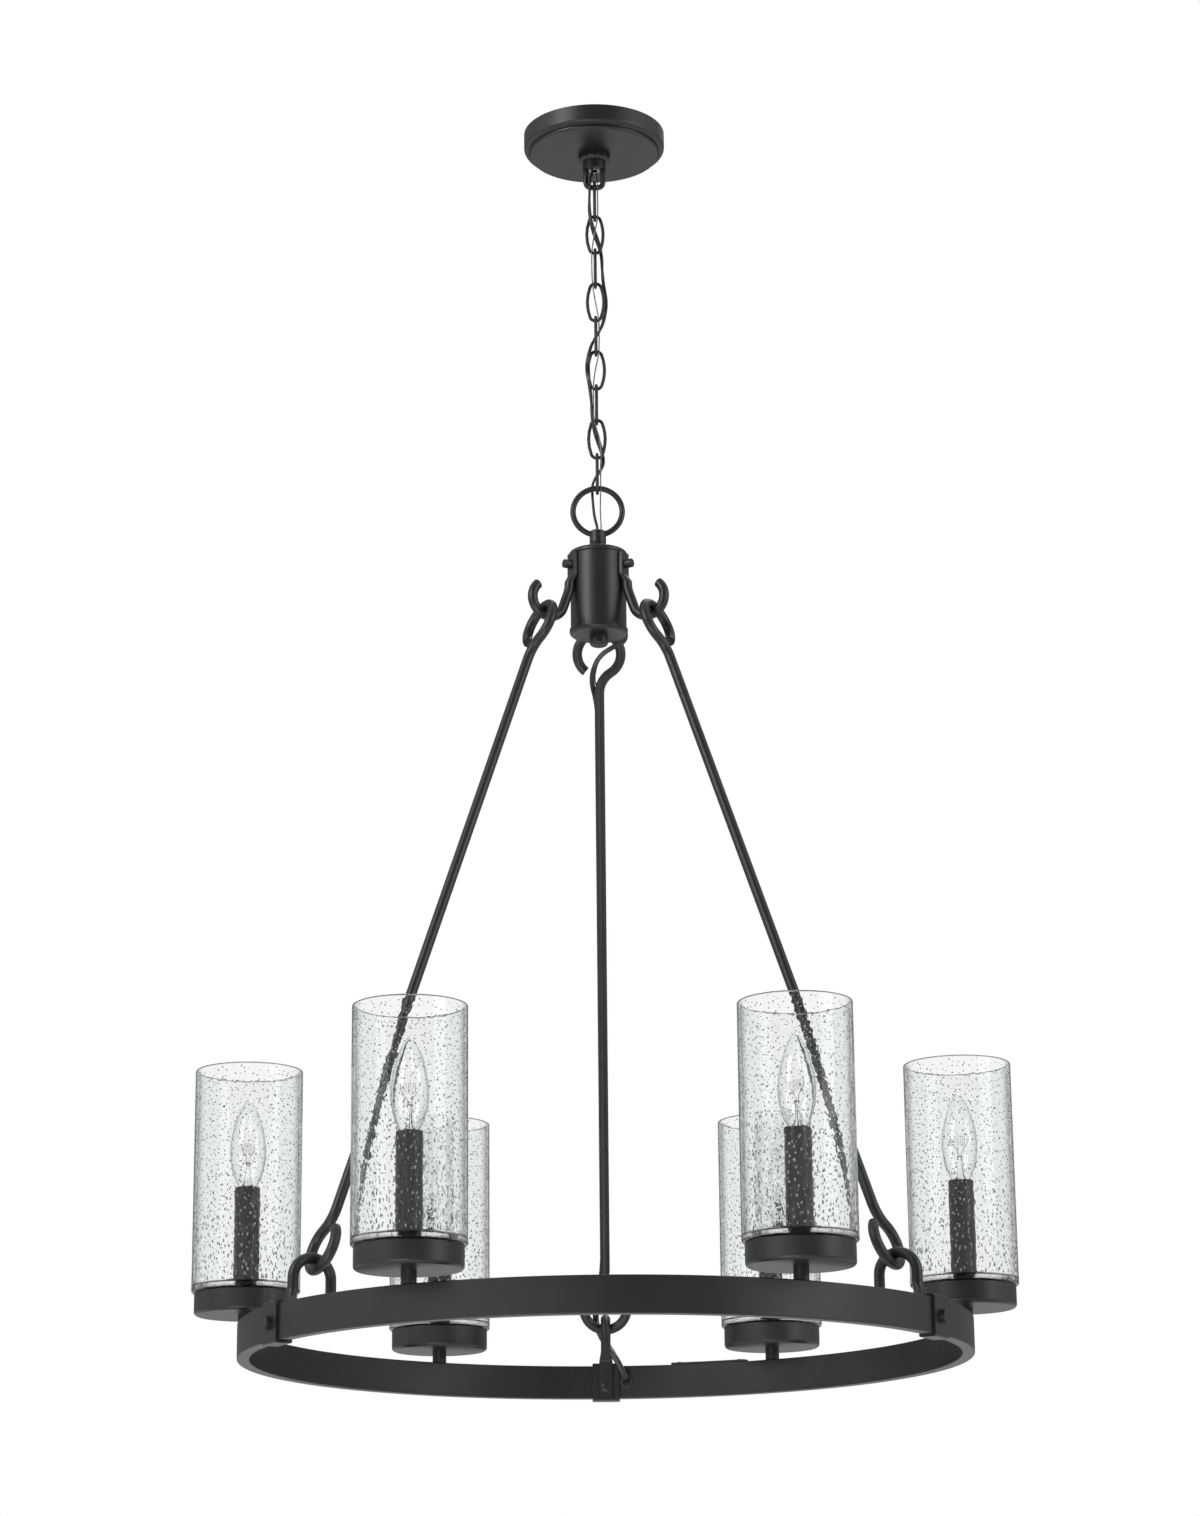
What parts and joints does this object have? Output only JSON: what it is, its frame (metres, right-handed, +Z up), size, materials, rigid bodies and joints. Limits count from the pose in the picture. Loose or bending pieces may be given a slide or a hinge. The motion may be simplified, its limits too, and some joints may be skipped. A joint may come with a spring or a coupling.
{
  "type": "outdoor chandelier",
  "caption": "Ceiling-hung outdoor chandelier: chain, small hub and hooked rods carry a ring of open glass cylinders, each over a candle lamp.",
  "frame": {"origin": "centre of the crossbar's mounting face, on the ceiling plane", "axes": "+Z up through the ceiling along the hanging axis, -Y towards the viewer, +X to the viewer's right, along the crossbar"},
  "size_m": [0.709, 0.6337, 1.1443],
  "materials": {
    "black_coat": "matte black powder coat",
    "zinc_steel": "zinc plated",
    "cord_jacket": "soft black jacket",
    "bare_wire": "bare tinned wire",
    "wire_insulation": "insulated wire bundle",
    "holder_plastic": "moulded phenolic",
    "rubber_black": "soft black rubber",
    "seeded_glass": "clear, with small air bubbles",
    "bulb_glass": "clear candle bulb with a brass base"
  },
  "bodies": {
    "ceiling_mount": {"mounting_crossbar": "zinc_steel", "canopy": "black_coat", "threaded_nipple": "zinc_steel", "nipple_locknut": "zinc_steel", "canopy_collar": "black_coat", "canopy_loop": "black_coat", "supply_cord": "cord_jacket", "ground_wire": "bare_wire"},
    "chain_link_1": {"chain_link_1": "black_coat"},
    "chain_link_2": {"chain_link_2": "black_coat"},
    "chain_link_3": {"chain_link_3": "black_coat"},
    "chain_link_4": {"chain_link_4": "black_coat"},
    "chain_link_5": {"chain_link_5": "black_coat"},
    "chain_link_6": {"chain_link_6": "black_coat"},
    "chain_link_7": {"chain_link_7": "black_coat"},
    "chain_link_8": {"chain_link_8": "black_coat"},
    "chain_link_9": {"chain_link_9": "black_coat"},
    "hub": {"hub_ring": "black_coat", "hub_neck": "black_coat", "hub_cap": "black_coat", "hub_shell": "black_coat", "hub_base_plate": "black_coat", "hub_stud": "zinc_steel", "hub_base_nut": "black_coat", "hub_hook_rear": "black_coat", "hub_hook_left": "black_coat", "hub_hook_right": "black_coat", "hub_hook_bolts": "black_coat"},
    "rod_rear": {"rod_rear": "black_coat", "rod_cord": "cord_jacket", "rod_ground_wire": "bare_wire"},
    "rod_left": {"rod_left": "black_coat"},
    "rod_right": {"rod_right": "black_coat"},
    "ring": {"ring_tube": "black_coat", "ring_harness": "wire_insulation", "ring_straps": "black_coat", "ring_hook_rear": "black_coat", "ring_hook_left": "black_coat", "ring_hook_right": "black_coat", "hook_rivets": "black_coat", "ring_screws": "black_coat", "access_cover": "black_coat", "cord_grommet": "rubber_black", "lamp_stems": "black_coat", "lamp_cups": "black_coat", "lampholders": "holder_plastic", "candle_sleeves": "black_coat", "shade_retainers": "black_coat", "glass_shade_1": "seeded_glass", "glass_shade_2": "seeded_glass", "glass_shade_3": "seeded_glass", "glass_shade_4": "seeded_glass", "glass_shade_5": "seeded_glass", "glass_shade_6": "seeded_glass"},
    "bulb_1": {"bulb_1": "bulb_glass"},
    "bulb_2": {"bulb_2": "bulb_glass"},
    "bulb_3": {"bulb_3": "bulb_glass"},
    "bulb_4": {"bulb_4": "bulb_glass"},
    "bulb_5": {"bulb_5": "bulb_glass"},
    "bulb_6": {"bulb_6": "bulb_glass"}
  },
  "joints": [
    {"name": "link_1_swing", "type": "hinge", "parent": "ceiling_mount", "child": "chain_link_1", "pos_m": [0, 0, -0.0534], "axis": [1, 0, 0], "range_deg": [-30, 30], "deforming": ["supply_cord", "ground_wire"]},
    {"name": "link_2_swing", "type": "hinge", "parent": "chain_link_1", "child": "chain_link_2", "pos_m": [0, 0, -0.0862], "axis": [0, 1, 0], "range_deg": [-30, 30]},
    {"name": "link_3_twist", "type": "hinge", "parent": "chain_link_2", "child": "chain_link_3", "pos_m": [0, 0, -0.12], "axis": [0, 0, 1], "range_deg": [-5, 5]},
    {"name": "link_4_twist", "type": "hinge", "parent": "chain_link_2", "child": "chain_link_4", "pos_m": [0, 0, -0.1538], "axis": [0, 0, 1], "range_deg": [-5, 5]},
    {"name": "link_5_twist", "type": "hinge", "parent": "chain_link_2", "child": "chain_link_5", "pos_m": [0, 0, -0.1876], "axis": [0, 0, 1], "range_deg": [-5, 5]},
    {"name": "link_6_twist", "type": "hinge", "parent": "chain_link_2", "child": "chain_link_6", "pos_m": [0, 0, -0.2214], "axis": [0, 0, 1], "range_deg": [-5, 5]},
    {"name": "link_7_twist", "type": "hinge", "parent": "chain_link_2", "child": "chain_link_7", "pos_m": [0, 0, -0.2552], "axis": [0, 0, 1], "range_deg": [-5, 5]},
    {"name": "link_8_twist", "type": "hinge", "parent": "chain_link_2", "child": "chain_link_8", "pos_m": [0, 0, -0.289], "axis": [0, 0, 1], "range_deg": [-5, 5]},
    {"name": "link_9_twist", "type": "hinge", "parent": "chain_link_2", "child": "chain_link_9", "pos_m": [0, 0, -0.3228], "axis": [0, 0, 1], "range_deg": [-5, 5]},
    {"name": "hub_swing", "type": "hinge", "parent": "chain_link_2", "child": "hub", "pos_m": [0, 0, -0.3566], "axis": [0, 1, 0], "range_deg": [-30, 30]},
    {"name": "rear_rod_sway", "type": "hinge", "parent": "hub", "child": "rod_rear", "pos_m": [0, 0.0538, -0.47271], "axis": [1, 0, 0], "range_deg": [-4, 4], "deforming": ["rod_cord", "rod_ground_wire"]},
    {"name": "left_rod_sway", "type": "hinge", "parent": "hub", "child": "rod_left", "pos_m": [-0.04659, -0.0269, -0.47271], "axis": [1, 0, 0], "range_deg": [-4, 4]},
    {"name": "right_rod_sway", "type": "hinge", "parent": "hub", "child": "rod_right", "pos_m": [0.04659, -0.0269, -0.47271], "axis": [1, 0, 0], "range_deg": [-4, 4]},
    {"name": "ring_sway", "type": "hinge", "parent": "rod_rear", "child": "ring", "pos_m": [0, 0.27476, -1.08184], "axis": [1, 0, 0], "range_deg": [-0.79, 0.79]},
    {"name": "bulb_1_turn", "type": "hinge", "parent": "ring", "child": "bulb_1", "pos_m": [0.308, 0, -1.002], "axis": [0, 0, 1], "range_deg": [0, 90]},
    {"name": "bulb_2_turn", "type": "hinge", "parent": "ring", "child": "bulb_2", "pos_m": [0.154, 0.26674, -1.002], "axis": [0, 0, 1], "range_deg": [0, 90]},
    {"name": "bulb_3_turn", "type": "hinge", "parent": "ring", "child": "bulb_3", "pos_m": [-0.154, 0.26674, -1.002], "axis": [0, 0, 1], "range_deg": [0, 90]},
    {"name": "bulb_4_turn", "type": "hinge", "parent": "ring", "child": "bulb_4", "pos_m": [-0.308, 0, -1.002], "axis": [0, 0, 1], "range_deg": [0, 90]},
    {"name": "bulb_5_turn", "type": "hinge", "parent": "ring", "child": "bulb_5", "pos_m": [-0.154, -0.26674, -1.002], "axis": [0, 0, 1], "range_deg": [0, 90]},
    {"name": "bulb_6_turn", "type": "hinge", "parent": "ring", "child": "bulb_6", "pos_m": [0.154, -0.26674, -1.002], "axis": [0, 0, 1], "range_deg": [0, 90]}
  ],
  "couplings": [
    {"joint": "left_rod_sway", "follows": "rear_rod_sway", "ratio": 1},
    {"joint": "right_rod_sway", "follows": "rear_rod_sway", "ratio": 1},
    {"joint": "ring_sway", "follows": "rear_rod_sway", "ratio": -0.19582}
  ]
}
